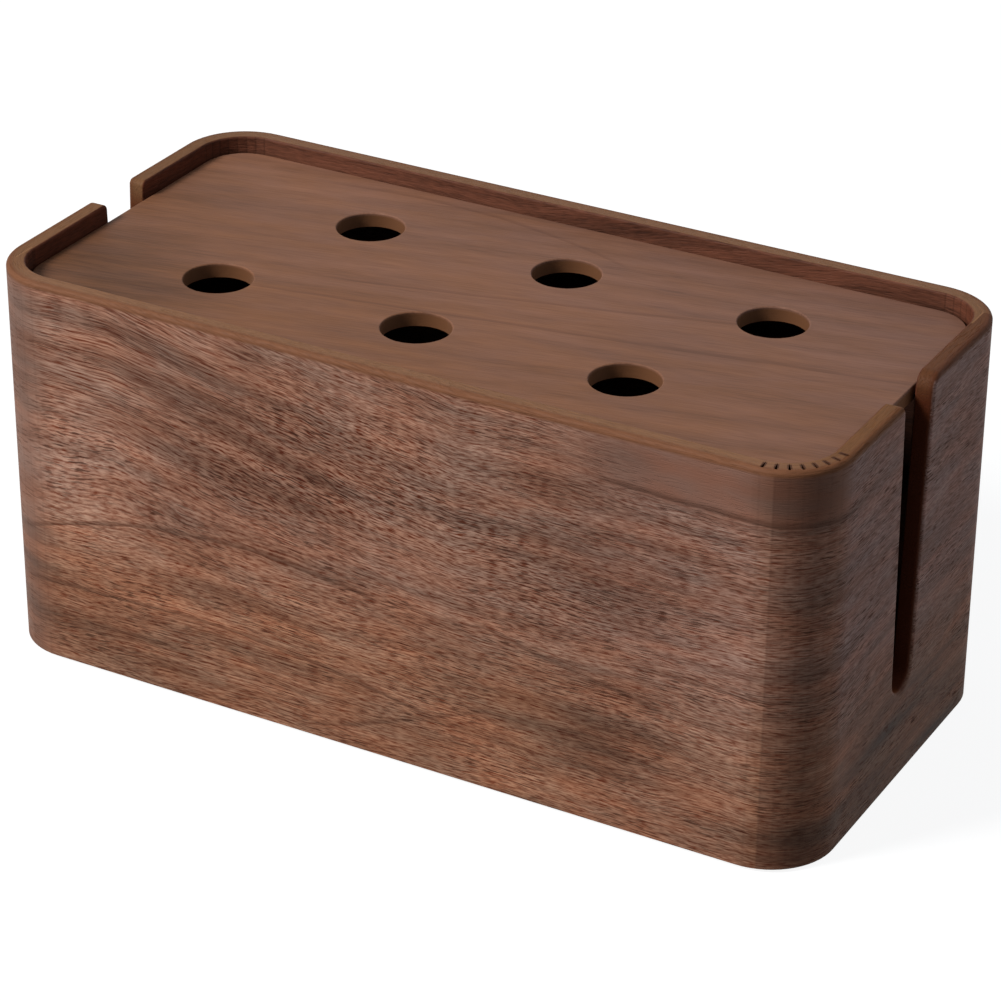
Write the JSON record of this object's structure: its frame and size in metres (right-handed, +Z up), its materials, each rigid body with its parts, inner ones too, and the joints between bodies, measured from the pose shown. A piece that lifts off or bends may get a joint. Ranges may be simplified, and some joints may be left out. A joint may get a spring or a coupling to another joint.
{
  "type": "cable management box",
  "caption": "Long wooden desk box with rounded kerf-bent corners, a tapered cable slot in each short side and a recessed lift-out lid with round cable holes.",
  "frame": {"origin": "on the surface that the box stands on, under the middle of the box", "axes": "+X along the length, +Y from the front to the back, +Z up"},
  "size_m": [0.33, 0.16, 0.1535],
  "materials": {
    "wall_board": "oiled walnut, open grain",
    "lid_board": "oiled walnut, sanded smooth",
    "inner_board": "stained dark",
    "foot_rubber": "matt"
  },
  "bodies": {
    "box": {"front_board": "wall_board", "back_board": "wall_board", "bottom_board": "inner_board", "front_ledge": "inner_board", "back_ledge": "inner_board", "foot_front_left": "foot_rubber", "foot_front_right": "foot_rubber", "foot_back_left": "foot_rubber", "foot_back_right": "foot_rubber"},
    "lid": {"lid": "lid_board"}
  },
  "joints": [
    {"name": "lid_lift", "type": "slide", "parent": "box", "child": "lid", "axis": [0, 0, 1], "range_m": [0, 0.1]}
  ]
}
